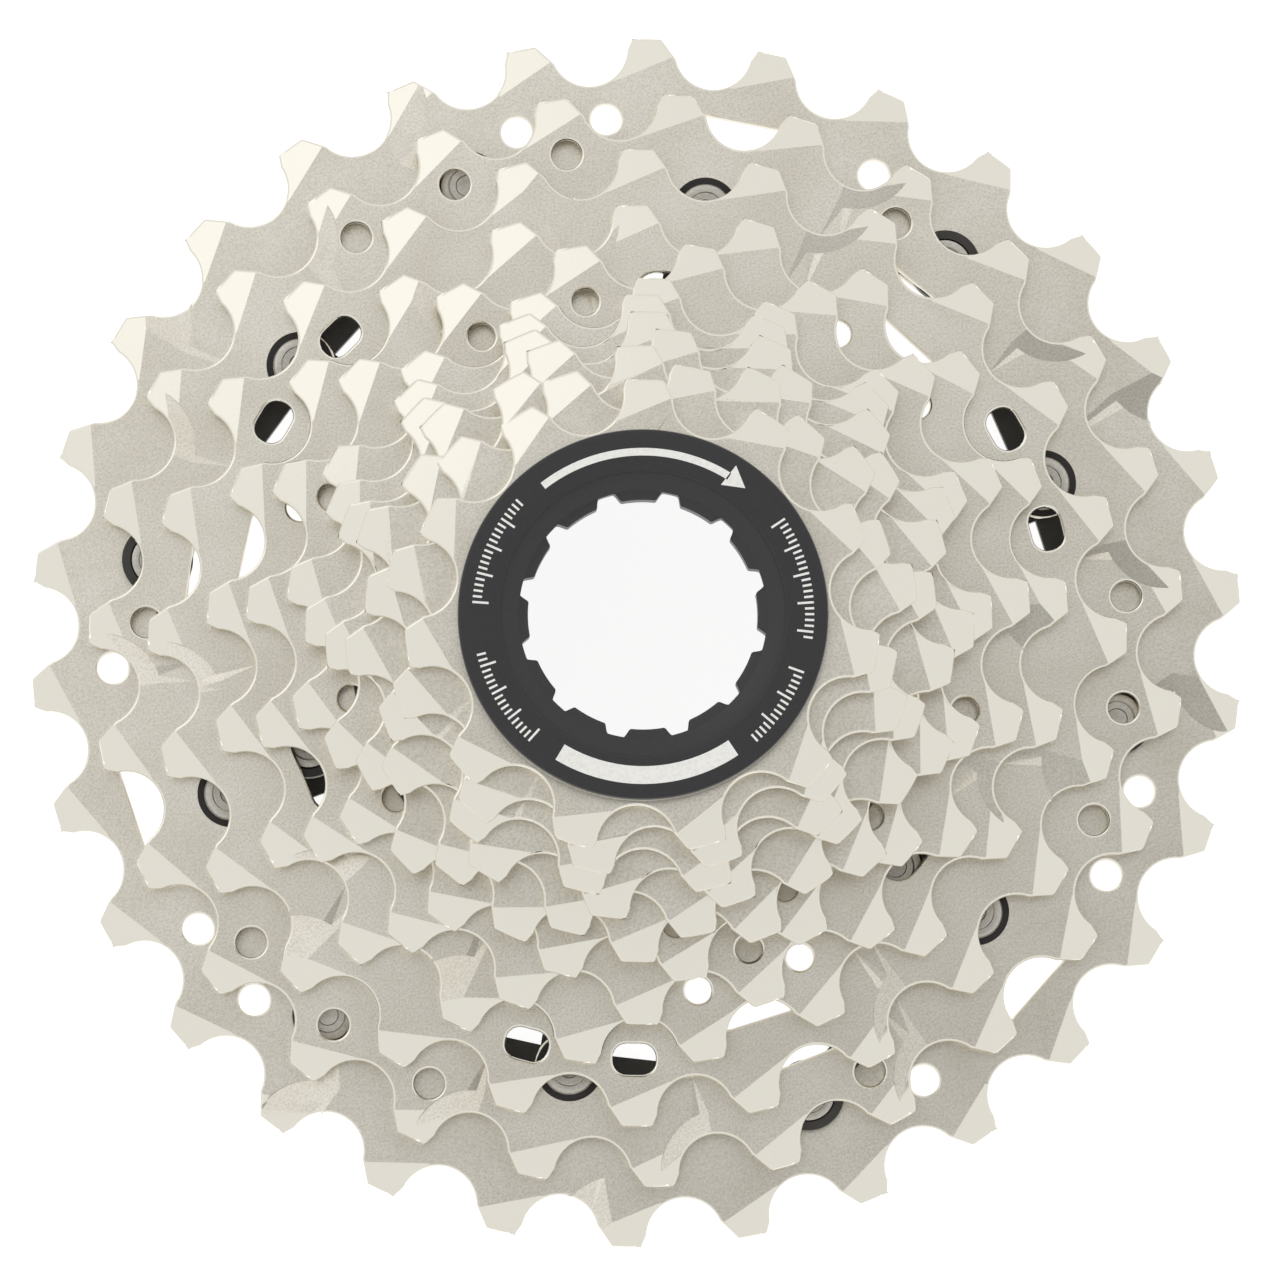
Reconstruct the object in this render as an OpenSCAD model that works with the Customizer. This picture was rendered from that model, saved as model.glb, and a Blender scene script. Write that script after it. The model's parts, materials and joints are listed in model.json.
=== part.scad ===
// Twelve-speed bicycle cassette, 11 to 30 teeth, as it comes off the freehub body.
// Origin: centre of the spline bore on the rear face of the largest sprocket. +Z: towards the lockring.

/* [Chain and teeth] */
// Chain pitch, pin to pin (mm)
chain_pitch = 12.7; // [12:0.1:13.4]
// Diameter of the chain's rollers (mm)
roller_d = 7.75; // [7.3:0.05:8.2]
// Height of the tooth tips above the pitch circle (mm)
tooth_rise = 0.9; // [0.6:0.05:1.1]
// Angle of roller seat on the steep side of each gap (deg)
seat_lead_a = 66; // [62:1:72]
// Angle of roller seat on the sloped side of each gap (deg)
seat_trail_a = 51; // [48:1:60]
// How far inside the roller seat a flank's line starts (mm)
flank_bite = 0.3; // [0.2:0.05:0.5]
// Thickness of each sprocket plate (mm)
plate_t = 1.6; // [1.4:0.05:1.75]
// Distance from one sprocket to the next along the hub (mm)
sprocket_pitch = 3.5; // [3.4:0.05:4]

/* [Tooth bevels] */
// Depth of the slanted bevel at each tooth tip (mm)
bevel_depth = 0.75; // [0.3:0.05:1]
// Radial length of the slanted bevel (mm)
bevel_len = 2.9; // [1.5:0.1:3.6]
// Angle by which the bevel's crease leans across the tooth (deg)
bevel_skew = 24; // [0:1:35]
// Depth of the narrow bevel round the rear of the tips (mm)
rear_bevel = 0.35; // [0.1:0.05:0.5]

/* [Shift ramps] */
// Radius of the round cut that makes a shift ramp (mm)
ramp_r = 6.2; // [5.4:0.1:7]
// Depth of a shift ramp at its deep end (mm)
ramp_depth = 0.4; // [0.2:0.05:0.6]
// Tilt of a shift ramp's floor (deg)
ramp_tilt = 4; // [2:0.5:6]

/* [Spline bore] */
// Radius of the bore between the tabs (mm)
bore_r = 17.3; // [17.1:0.05:17.5]
// Radius at the tips of the tabs (mm)
tab_tip_r = 16.1; // [15.95:0.05:16.4]
// Width of a tab (mm)
tab_w = 2.9; // [2.4:0.1:3.4]
// Width of the narrow tab that sets the clocking (mm)
index_tab_w = 1.9; // [1.4:0.1:2.3]

/* [Sprocket rings] */
// Inner radius of the 30-tooth ring (mm)
ring_30_r = 45.9; // [45.2:0.1:46.8]
// Inner radius of the 27-tooth ring (mm)
ring_27_r = 44.6; // [44.2:0.1:44.9]
// Inner radius of the 24-tooth ring (mm)
ring_24_r = 38.4; // [38:0.1:38.7]
// Inner radius of the 21-tooth ring (mm)
ring_21_r = 30.2; // [29.4:0.1:31]
// Inner radius of the 19-tooth ring (mm)
ring_19_r = 24.6; // [24:0.1:25.2]
// Inner radius of the 17-tooth ring (mm)
ring_17_r = 23.6; // [23:0.1:24]
// Diameter of the lightening holes in the two largest sprockets (mm)
hole_large_d = 3.1; // [2.4:0.1:3.6]
// Diameter of the lightening holes in the middle sprockets (mm)
hole_small_d = 2.7; // [2:0.1:3]
// Width of a lightening slot in the 24-tooth sprocket (mm)
slot_w = 3.2; // [2.6:0.1:3.6]
// Length of a lightening slot in the 24-tooth sprocket (mm)
slot_l = 4.4; // [3.8:0.1:5.2]

/* [Notches] */
// Length of a notch in the 30-tooth ring (mm)
notch_30_l = 17; // [12:0.5:20]
// Radius of the outer edge of the 30-tooth ring's notches (mm)
notch_30_r = 54; // [53.6:0.1:54.4]
// Length of a notch in the 27-tooth ring (mm)
notch_27_l = 13.6; // [10:0.2:15]
// Radius of the outer edge of the 27-tooth ring's notches (mm)
notch_27_r = 45.9; // [45:0.1:46.6]
// Length of a notch in the 24-tooth ring (mm)
notch_24_l = 10; // [8:0.2:11]
// Radius of the outer edge of the 24-tooth ring's notches (mm)
notch_24_r = 40.7; // [40:0.1:41.2]
// Length of a notch in the 21-tooth ring (mm)
notch_21_l = 9; // [7:0.2:10]
// Radius of the outer edge of the 21-tooth ring's notches (mm)
notch_21_r = 36.6; // [35.8:0.1:36.8]
// Corner radius of the notches (mm)
notch_corner = 2; // [1:0.1:2.4]

/* [Spiders] */
// Thickness of the spider arms (mm)
spider_t = 1.9; // [1.5:0.05:1.9]
// Radius of the hub of the largest spider (mm)
hub_r = 23; // [21.5:0.5:26]
// Width of a spider arm (mm)
arm_w = 6.4; // [5:0.2:7]
// Width of an outer strut of the largest spider (mm)
strut_w = 3.4; // [2.6:0.2:4.4]
// Radius of the carrier disc between the 17 and 19 tooth rings (mm)
carrier_r = 29.2; // [28.6:0.2:29.6]
// Gap between the carrier's hub and the 17-tooth ring round it (mm)
carrier_gap = 1.6; // [1:0.1:2.6]

/* [Rivets] */
// Radius of the circle of rivets that hold the 30-tooth ring (mm)
rivets_30_r = 49.4; // [49:0.1:50]
// Radius of the circle of rivets that hold the 27-tooth ring (mm)
rivets_27_r = 44.1; // [43.6:0.1:44.6]
// Radius of the circle of rivets that hold the 24-tooth ring (mm)
rivets_24_r = 35; // [34.6:0.1:35.4]
// Radius of the circle of rivets that hold the 21-tooth ring (mm)
rivets_21_r = 30; // [29.7:0.1:30.6]
// Radius of the circle of rivets through the 17 and 19 tooth rings (mm)
rivets_17_r = 26.6; // [26.3:0.1:26.8]
// Radius of a rivet's shank (mm)
shank_r = 1.5; // [1.2:0.05:1.7]
// Radius of a rivet's head (mm)
head_r = 2.7; // [2.3:0.1:2.9]
// Height of a rivet's head (mm)
head_t = 0.6; // [0.4:0.05:0.7]
// Radius of the boss round a rivet (mm)
boss_r = 3.6; // [3.2:0.1:3.8]
// Width of the neck that joins a boss to its ring (mm)
boss_neck = 6; // [5:0.1:6.4]
// Gap between a rivet and its hole (mm)
rivet_gap = 0.04; // [0.02:0.01:0.08]

/* [Spacers] */
// Outer radius of the spacers next to the spiders (mm)
spacer_large_r = 22; // [20.5:0.5:23]
// Outer radius of the spacers between the loose sprockets (mm)
spacer_small_r = 20; // [19:0.1:20.4]
// Outer radius of the collar on the 12-tooth sprocket (mm)
collar_12_r = 19.4; // [18.6:0.1:19.8]
// Outer radius of the collar on the 11-tooth sprocket (mm)
collar_11_r = 18.4; // [18.1:0.05:18.6]

/* [Lockring] */
// Radius of the lockring's flange (mm)
flange_r = 18.2; // [17.8:0.1:18.4]
// Thickness of the lockring's flange (mm)
flange_t = 2.5; // [2:0.1:3]
// Outer radius of the threaded sleeve (mm)
thread_r = 15.3; // [15.1:0.05:15.5]
// Length of the threaded sleeve (mm)
sleeve_l = 5; // [4.5:0.1:5.6]
// Inner radius of the sleeve behind the tool splines (mm)
sleeve_in_r = 13.3; // [12.6:0.1:13.8]
// Length of the tool splines (mm)
tool_l = 3.4; // [2.8:0.1:4]
// Radius at the crests of the tool splines (mm)
tool_crest_r = 11.3; // [11:0.05:11.5]
// Radius at the bottom of the tool splines' grooves (mm)
tool_groove_r = 12.3; // [12:0.05:12.5]
// Width of a groove between the tool splines (mm)
tool_groove_w = 2.5; // [2.1:0.1:2.7]
// How far each side of a tool groove leans in towards its floor (mm)
tool_groove_lean = 0.35; // [0.1:0.05:0.6]
// Radius of the flat front face's inner edge (mm)
face_in_r = 14; // [13.4:0.1:14.6]
// Thickness of the washer under the flange (mm)
washer_t = 0.5; // [0.3:0.05:0.7]
// Radial gap between the washer and the sleeve (mm)
washer_gap = 0.7; // [0.6:0.05:0.9]

/* [Hidden] */
$fn = 96;
cut = 0.5; // how far a cutting tool runs past the face that it opens
steel = "#cfcabd";
steel_dark = "#b9b3a6";
anodised = "#1d1d20";
grey_anodised = "#55565a";
rivet_steel = "#8f8e8b";

// each sprocket: [teeth, clocking of a tooth, clockwise from +Y (deg)]
stack = [
    [30, 1.4], [27, 4.8], [24, 0.6], [21, 16.9], [19, 9.6], [17, 3],
    [16, 1.1], [15, 2.2], [14, 7.2], [13, -0.4], [12, 12.2], [11, 1.5],
];
k_30 = 0;
k_27 = 1;
k_24 = 2;
k_21 = 3;
k_19 = 4;
k_17 = 5;
k_16 = 6;
k_15 = 7;
k_14 = 8;
k_13 = 9;
k_12 = 10;
k_11 = 11;

tab_count = 9;
tool_spline_count = 12;
thirds = [0, 120, 240];
sixths = [0, 60, 120, 180, 240, 300];

// clocking of the rivets, clockwise from +Y (deg)
turn_rivets_30 = 39.4;
turn_rivets_27 = 9;
turn_rivets_24 = 12;
turn_rivets_21 = 42;
turn_rivets_17 = 15;

// clocking of the lockring's tool grooves, clockwise from +Y (deg)
turn_tool_groove = 12.5;

// lightening holes, clockwise from +Y (deg)
turn_holes_30 = [-13.3, -3.4, 26.9];
turn_holes_27 = [31.8, 85, 98.1, 111.7];
turn_slots_24 = [60.5, 75.2];
turn_holes_21 = [33.5, 50.5];
turn_holes_19 = [103.5, 160.9, 293.6, 332, 350.8];
turn_holes_17 = [129, 150.6, 173, 195, 235.3, 256.5];

// notches, clockwise from +Y (deg)
turn_notch_30 = 11.3;
turn_notch_27 = 38.4;
turn_notch_24 = 42.3;
turn_notch_21 = 7.1;

// shift ramps, clockwise from +Y (deg)
turn_ramps_30 = [62, 93];
turn_ramps_27 = [24, 51, 78];
turn_ramps_24 = [22, 105];
turn_ramps_21 = [85, 109];

spacer_t = sprocket_pitch - plate_t; // free length between two plates
seat_r = roller_d / 2;
washer_z = z_front(k_11);
flange_z = washer_z + washer_t;
lockring_top = flange_z + flange_t;
sleeve_z = flange_z - sleeve_l;
rim_wall_30 = 3.5; // from the root circle in to the centre of a hole in the 30-tooth ring
rim_wall_21 = 2.3; // the same for the 21-tooth ring
tooth_hole_drop = 1; // the same for a hole at the base of a tooth
slot_drop = 2; // the same for a slot in the 24-tooth ring
slot_round = 0.45; // corner radius of a slot, as a share of its width

function teeth(k) = stack[k][0];
function clocking(k) = stack[k][1];
function z_back(k) = k * sprocket_pitch;
function z_front(k) = z_back(k) + plate_t;
function pitch_r(n) = chain_pitch / 2 / sin(180 / n);
function root_r(n) = pitch_r(n) - seat_r;
function tip_r(n) = pitch_r(n) + tooth_rise;
function clockwise(a) = 90 - a;

// ---------- outlines ----------

// one gap between two teeth: the roller seat and its two flanks, opening past the tips
module tooth_gap(n) {
    mouth = tooth_rise + cut;
    start = seat_r - flank_bite;
    lead_y = seat_r * sin(seat_lead_a) + (mouth + seat_r * cos(seat_lead_a)) / tan(seat_lead_a);
    trail_y = seat_r * sin(seat_trail_a) + (mouth + seat_r * cos(seat_trail_a)) / tan(seat_trail_a);
    translate([pitch_r(n), 0]) {
        circle(r = seat_r);
        polygon([
            [-start * cos(seat_trail_a), start * sin(seat_trail_a)],
            [mouth, trail_y],
            [mouth, -lead_y],
            [-start * cos(seat_lead_a), -start * sin(seat_lead_a)],
        ]);
    }
}

// toothed disc with no bore
module toothed_disc(k) {
    n = teeth(k);
    difference() {
        circle(r = tip_r(n));
        for (i = [0:n - 1])
            rotate(clockwise(clocking(k)) + (i + 0.5) * 360 / n)
                tooth_gap(n);
    }
}

// bore with inward tabs that key on the freehub body
module spline_bore() {
    difference() {
        circle(r = bore_r);
        for (i = [0:tab_count - 1]) {
            w = i == 0 ? index_tab_w : tab_w;
            rotate(clockwise(i * 360 / tab_count))
                translate([tab_tip_r, -w / 2])
                    square([bore_r - tab_tip_r + cut, w]);
        }
    }
}

// copies of the children at a radius, clockwise from +Y
module around(turns, r) {
    for (a = turns)
        rotate(clockwise(a))
            translate([r, 0])
                children();
}

// rectangle with rounded corners: x runs outwards from x0 to x1, y is centred
module round_rect(x0, x1, w, r) {
    corners = [[x1 - r, w / 2 - r, 0], [x0 + r, w / 2 - r, 90], [x0 + r, r - w / 2, 180], [x1 - r, r - w / 2, 270]];
    polygon([for (c = corners) for (a = [0:15:90]) [c[0] + r * cos(c[2] + a), c[1] + r * sin(c[2] + a)]]);
}

// ---------- sprocket features ----------

// slanted bevel across the front of every tooth tip
module tip_bevels(k) {
    n = teeth(k);
    slope = atan(bevel_depth / bevel_len);
    for (i = [0:n - 1])
        rotate([0, 0, clockwise(clocking(k)) + i * 360 / n])
            translate([tip_r(n) - bevel_len, 0, plate_t])
                rotate([0, 0, bevel_skew])
                    rotate([0, slope, 0])
                        translate([-bevel_len, -seat_r, 0])
                            cube([3 * bevel_len, 2 * seat_r, 2 * plate_t]);
}

// envelope that takes the narrow bevel off the rear of the tips
module rear_bevel_envelope(n) {
    rotate_extrude()
        polygon([
            [0, -cut],
            [tip_r(n) - rear_bevel - cut, -cut],
            [tip_r(n) + cut, rear_bevel + cut],
            [tip_r(n) + cut, plate_t + cut],
            [0, plate_t + cut],
        ]);
}

// round scoops in the front face that lift the chain to this sprocket
module shift_ramps(k, turns) {
    for (a = turns)
        rotate([0, 0, clockwise(a)])
            translate([pitch_r(teeth(k)), 0, plate_t - ramp_depth + ramp_r * sin(ramp_tilt)])
                rotate([ramp_tilt, 0, 0])
                    cylinder(r = ramp_r, h = plate_t * 2);
}

// one sprocket plate: teeth and bevels, with the given hole outline as children
module sprocket(k, ramps = []) {
    translate([0, 0, z_back(k)])
        difference() {
            intersection() {
                linear_extrude(plate_t)
                    difference() {
                        toothed_disc(k);
                        children();
                    }
                rear_bevel_envelope(teeth(k));
            }
            tip_bevels(k);
            if (len(ramps) > 0)
                shift_ramps(k, ramps);
        }
}

// every turn of a list, repeated three times round
function three_fold(turns) = [for (s = thirds) for (a = turns) a + s];
function six_fold(turn) = [for (s = sixths) turn + s];

// open inside of a riveted ring, with its rivet holes
module ring_opening(inner_r, rivet_turns, rivet_r) {
    circle(r = inner_r);
    around(rivet_turns, rivet_r)
        circle(r = shank_r + rivet_gap);
}

// the same, with a boss left round each rivet
module bossed_opening(inner_r, rivet_turns, rivet_r) {
    difference() {
        circle(r = inner_r);
        around(rivet_turns, rivet_r) {
            circle(r = boss_r);
            translate([0, -boss_neck / 2])
                square([inner_r + boss_r - rivet_r, boss_neck]);
        }
    }
    around(rivet_turns, rivet_r)
        circle(r = shank_r + rivet_gap);
}

// rivets: shank up from z0, with a head above z1
module rivet_set(turns, r, z0, z1) {
    for (a = turns)
        rotate([0, 0, clockwise(a)])
            translate([r, 0, 0]) {
                translate([0, 0, z0])
                    cylinder(r = shank_r, h = z1 - z0);
                translate([0, 0, z1])
                    cylinder(r = head_r, h = head_t);
            }
}

// straight bar of a spider between two points given as [radius, turn]
module bar(from, to, w) {
    p = from[0] * [cos(clockwise(from[1])), sin(clockwise(from[1]))];
    q = to[0] * [cos(clockwise(to[1])), sin(clockwise(to[1]))];
    side = [p[1] - q[1], q[0] - p[0]] * w / 2 / norm(q - p);
    polygon([p + side, p - side, q - side, q + side]);
}

module spacer(z0, r) {
    translate([0, 0, z0])
        linear_extrude(spacer_t)
            difference() {
                circle(r = r);
                spline_bore();
            }
}

// ---------- largest cluster: 30 and 27 teeth ----------

module sprocket_30() {
    hole_r = root_r(teeth(k_30)) - rim_wall_30;
    color(steel)
        sprocket(k_30, three_fold(turn_ramps_30)) {
            union() {
                ring_opening(ring_30_r, six_fold(turn_rivets_30), rivets_30_r);
                around(three_fold(turn_holes_30), hole_r)
                    circle(d = hole_large_d);
                around(three_fold([turn_notch_30]), 0)
                    round_rect(ring_30_r - 2 * notch_corner, notch_30_r, notch_30_l, notch_corner);
            }
        }
}

module sprocket_27() {
    hole_r = root_r(teeth(k_27)) - tooth_hole_drop;
    color(steel)
        sprocket(k_27, three_fold(turn_ramps_27)) {
            union() {
                bossed_opening(ring_27_r, six_fold(turn_rivets_27), rivets_27_r);
                around(three_fold(turn_holes_27), hole_r)
                    circle(d = hole_large_d);
                around(three_fold([turn_notch_27]), 0)
                    round_rect(ring_27_r - 2 * notch_corner, notch_27_r, notch_27_l, notch_corner);
            }
        }
}

module spider_27_30() {
    color(anodised)
        difference() {
            union() {
                translate([0, 0, z_front(k_30)])
                    linear_extrude(spider_t)
                        large_spider_outline();
                translate([0, 0, z_back(k_30)])
                    linear_extrude(z_front(k_27) - z_back(k_30))
                        circle(r = hub_r);
            }
            translate([0, 0, -cut])
                linear_extrude(z_front(k_27) + 2 * cut)
                    spline_bore();
            rivet_pockets(six_fold(turn_rivets_30), rivets_30_r, z_front(k_30) + spider_t - head_t);
        }
}

module large_spider_outline() {
    difference() {
        union() {
            circle(r = hub_r);
            for (s = sixths) {
                inner = [rivets_27_r, turn_rivets_27 + s];
                outer_a = [rivets_30_r, turn_rivets_30 + s];
                outer_b = [rivets_30_r, turn_rivets_30 - 60 + s];
                bar([0, 0], inner, arm_w);
                bar(inner, outer_a, strut_w);
                bar(inner, outer_b, strut_w);
            }
            around(six_fold(turn_rivets_27), rivets_27_r)
                circle(r = boss_r);
            around(six_fold(turn_rivets_30), rivets_30_r)
                circle(r = boss_r);
        }
        around(six_fold(turn_rivets_27), rivets_27_r)
            circle(r = shank_r + rivet_gap);
        around(six_fold(turn_rivets_30), rivets_30_r)
            circle(r = shank_r + rivet_gap);
    }
}

// flat-bottomed seats for rivet heads, open upwards
module rivet_pockets(turns, r, z) {
    for (a = turns)
        rotate([0, 0, clockwise(a)])
            translate([r, 0, z])
                cylinder(r = head_r + rivet_gap, h = head_t + cut);
}

module rivets_30() {
    color(rivet_steel)
        rivet_set(six_fold(turn_rivets_30), rivets_30_r, z_back(k_30), z_front(k_30) + spider_t - head_t);
}

module rivets_27() {
    color(grey_anodised)
        rivet_set(six_fold(turn_rivets_27), rivets_27_r, z_front(k_30), z_front(k_27));
}

// ---------- middle cluster: 24 and 21 teeth ----------

module sprocket_24() {
    slot_r = root_r(teeth(k_24)) - slot_drop;
    color(steel)
        sprocket(k_24, three_fold(turn_ramps_24)) {
            union() {
                bossed_opening(ring_24_r, six_fold(turn_rivets_24), rivets_24_r);
                around(three_fold(turn_slots_24), slot_r)
                    round_rect(-slot_w / 2, slot_w / 2, slot_l, slot_w * slot_round);
                around(three_fold([turn_notch_24]), 0)
                    round_rect(ring_24_r - 2 * notch_corner, notch_24_r, notch_24_l, notch_corner);
            }
        }
}

module sprocket_21() {
    hole_r = root_r(teeth(k_21)) - rim_wall_21;
    color(steel)
        sprocket(k_21, three_fold(turn_ramps_21)) {
            union() {
                bossed_opening(ring_21_r, six_fold(turn_rivets_21), rivets_21_r);
                around(three_fold(turn_holes_21), hole_r)
                    circle(d = hole_small_d);
                around(three_fold([turn_notch_21]), 0)
                    round_rect(ring_21_r - 2 * notch_corner, notch_21_r, notch_21_l, notch_corner);
            }
        }
}

module spider_21_24() {
    color(anodised)
        difference() {
            union() {
                translate([0, 0, z_front(k_24)])
                    linear_extrude(spider_t)
                        small_spider_outline();
                translate([0, 0, z_back(k_24)])
                    linear_extrude(z_front(k_21) - z_back(k_24))
                        circle(r = hub_r);
            }
            translate([0, 0, z_back(k_24) - cut])
                linear_extrude(z_front(k_21) - z_back(k_24) + 2 * cut)
                    spline_bore();
            rivet_pockets(six_fold(turn_rivets_24), rivets_24_r, z_front(k_24) + spider_t - head_t);
        }
}

module small_spider_outline() {
    difference() {
        union() {
            circle(r = hub_r);
            for (s = sixths) {
                bar([0, 0], [rivets_24_r, turn_rivets_24 + s], arm_w);
                bar([0, 0], [rivets_21_r, turn_rivets_21 + s], arm_w);
            }
            around(six_fold(turn_rivets_24), rivets_24_r)
                circle(r = boss_r);
            around(six_fold(turn_rivets_21), rivets_21_r)
                circle(r = boss_r);
        }
        around(six_fold(turn_rivets_24), rivets_24_r)
            circle(r = shank_r + rivet_gap);
        around(six_fold(turn_rivets_21), rivets_21_r)
            circle(r = shank_r + rivet_gap);
    }
}

module rivets_24() {
    color(rivet_steel)
        rivet_set(six_fold(turn_rivets_24), rivets_24_r, z_back(k_24), z_front(k_24) + spider_t - head_t);
}

module rivets_21() {
    color(rivet_steel)
        rivet_set(six_fold(turn_rivets_21), rivets_21_r, z_front(k_24), z_front(k_21));
}

// ---------- small cluster: 19 and 17 teeth ----------

module sprocket_19() {
    color(steel)
        sprocket(k_19) {
            union() {
                circle(r = ring_19_r);
                around(three_fold([turn_rivets_17]), rivets_17_r)
                    circle(r = shank_r + rivet_gap);
                around(turn_holes_19, root_r(teeth(k_19)) - tooth_hole_drop)
                    circle(d = hole_small_d);
            }
        }
}

module sprocket_17() {
    color(steel)
        sprocket(k_17) {
            union() {
                circle(r = ring_17_r);
                around(three_fold([turn_rivets_17]), rivets_17_r)
                    circle(r = shank_r + rivet_gap);
                around(turn_holes_17, root_r(teeth(k_17)) - tooth_hole_drop)
                    circle(d = hole_small_d);
            }
        }
}

module carrier_17_19() {
    color(anodised)
        difference() {
            union() {
                translate([0, 0, z_front(k_19)])
                    linear_extrude(spacer_t)
                        difference() {
                            circle(r = carrier_r);
                            around(three_fold([turn_rivets_17]), rivets_17_r)
                                circle(r = shank_r + rivet_gap);
                        }
                translate([0, 0, z_back(k_19)])
                    linear_extrude(z_front(k_17) - z_back(k_19))
                        circle(r = ring_17_r - carrier_gap);
            }
            translate([0, 0, z_back(k_19) - cut])
                linear_extrude(z_front(k_17) - z_back(k_19) + 2 * cut)
                    spline_bore();
        }
}

module rivets_17_19() {
    color(rivet_steel) {
        rivet_set(three_fold([turn_rivets_17]), rivets_17_r, z_back(k_19), z_front(k_17));
        for (a = three_fold([turn_rivets_17]))
            rotate([0, 0, clockwise(a)])
                translate([rivets_17_r, 0, z_back(k_19) - head_t])
                    cylinder(r = head_r, h = head_t);
    }
}

// ---------- loose sprockets ----------

module sprocket_16() {
    color(steel)
        sprocket(k_16)
            spline_bore();
}

module sprocket_15() {
    color(steel)
        sprocket(k_15)
            spline_bore();
}

module sprocket_14() {
    color(steel)
        sprocket(k_14)
            spline_bore();
}

module sprocket_13() {
    color(steel)
        sprocket(k_13)
            spline_bore();
}

// sprocket with a collar on its back that reaches down to the one behind
module collared_sprocket(k, collar_r) {
    sprocket(k)
        spline_bore();
    spacer(z_front(k - 1), collar_r);
}

module sprocket_12() {
    color(steel)
        collared_sprocket(k_12, collar_12_r);
}

module sprocket_11() {
    color(steel)
        collared_sprocket(k_11, collar_11_r);
}

// ---------- loose spacers ----------

module spacer_24_27() {
    color(anodised)
        spacer(z_front(k_27), spacer_large_r);
}

module spacer_19_21() {
    color(anodised)
        spacer(z_front(k_21), spacer_large_r);
}

module spacer_16_17() {
    color(anodised)
        spacer(z_front(k_17), spacer_large_r);
}

module spacer_15_16() {
    color(anodised)
        spacer(z_front(k_16), spacer_small_r);
}

module spacer_14_15() {
    color(anodised)
        spacer(z_front(k_15), spacer_small_r);
}

module spacer_13_14() {
    color(anodised)
        spacer(z_front(k_14), spacer_small_r);
}

// ---------- lockring ----------

module lockring_washer() {
    color(steel_dark)
        translate([0, 0, washer_z])
            linear_extrude(washer_t)
                difference() {
                    circle(r = flange_r);
                    circle(r = thread_r + washer_gap);
                }
}

module lockring() {
    spline_z = sleeve_z + sleeve_l + flange_t - tool_l - (face_in_r - tool_groove_r) / 2;
    recess_z = spline_z + tool_l;
    color(anodised)
        difference() {
            union() {
                translate([0, 0, flange_z])
                    cylinder(r = flange_r, h = flange_t);
                translate([0, 0, sleeve_z])
                    cylinder(r = thread_r, h = sleeve_l);
            }
            translate([0, 0, sleeve_z - cut])
                cylinder(r = sleeve_in_r, h = spline_z - sleeve_z + cut);
            translate([0, 0, spline_z - cut])
                cylinder(r = tool_crest_r, h = tool_l + 2 * cut);
            translate([0, 0, spline_z - cut])
                linear_extrude(tool_l + 2 * cut)
                    tool_grooves();
            translate([0, 0, recess_z])
                cylinder(r1 = tool_groove_r, r2 = face_in_r, h = lockring_top - recess_z);
            translate([0, 0, lockring_top - cut / 2])
                cylinder(r = face_in_r, h = cut);
        }
}

// grooves that take the splines of the lockring tool
module tool_grooves() {
    intersection() {
        circle(r = tool_groove_r);
        for (i = [0:tool_spline_count - 1])
            rotate(clockwise(turn_tool_groove + i * 360 / tool_spline_count))
                polygon([
                    [0, -tool_groove_w / 2],
                    [tool_crest_r, -tool_groove_w / 2],
                    [tool_groove_r, -tool_groove_w / 2 + tool_groove_lean],
                    [tool_groove_r + cut, -tool_groove_w / 2 + tool_groove_lean],
                    [tool_groove_r + cut, tool_groove_w / 2 - tool_groove_lean],
                    [tool_groove_r, tool_groove_w / 2 - tool_groove_lean],
                    [tool_crest_r, tool_groove_w / 2],
                    [0, tool_groove_w / 2],
                ]);
    }
}

sprocket_30();
sprocket_27();
spider_27_30();
rivets_30();
rivets_27();
spacer_24_27();
sprocket_24();
sprocket_21();
spider_21_24();
rivets_24();
rivets_21();
spacer_19_21();
sprocket_19();
sprocket_17();
carrier_17_19();
rivets_17_19();
spacer_16_17();
sprocket_16();
spacer_15_16();
sprocket_15();
spacer_14_15();
sprocket_14();
spacer_13_14();
sprocket_13();
sprocket_12();
sprocket_11();
lockring_washer();
lockring();
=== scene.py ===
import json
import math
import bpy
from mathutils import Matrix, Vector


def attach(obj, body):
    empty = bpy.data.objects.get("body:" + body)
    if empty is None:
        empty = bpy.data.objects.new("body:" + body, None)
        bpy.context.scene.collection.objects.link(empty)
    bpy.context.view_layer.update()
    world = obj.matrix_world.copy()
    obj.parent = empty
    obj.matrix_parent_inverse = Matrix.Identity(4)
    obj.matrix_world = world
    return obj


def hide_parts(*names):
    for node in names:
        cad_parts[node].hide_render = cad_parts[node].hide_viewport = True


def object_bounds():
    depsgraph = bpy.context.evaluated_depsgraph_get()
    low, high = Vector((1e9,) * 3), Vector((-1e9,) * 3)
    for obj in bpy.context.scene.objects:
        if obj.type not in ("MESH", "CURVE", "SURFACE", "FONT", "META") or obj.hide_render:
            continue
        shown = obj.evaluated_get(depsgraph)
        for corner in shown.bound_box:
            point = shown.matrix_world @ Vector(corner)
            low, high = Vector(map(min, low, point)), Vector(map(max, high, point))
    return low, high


bl_info = {
    "name": "Cassette Sprocket",
    "version": (1, 0, 0),
    "blender": (4, 5, 0),
    "location": "View3D > Sidebar > Cassette",
    "description": "Dresses a twelve-sprocket cassette: broken edges, rivets, lockring and finishes",
    "category": "Object",
}

import bmesh
import bpy
from mathutils import Matrix, Vector

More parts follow.
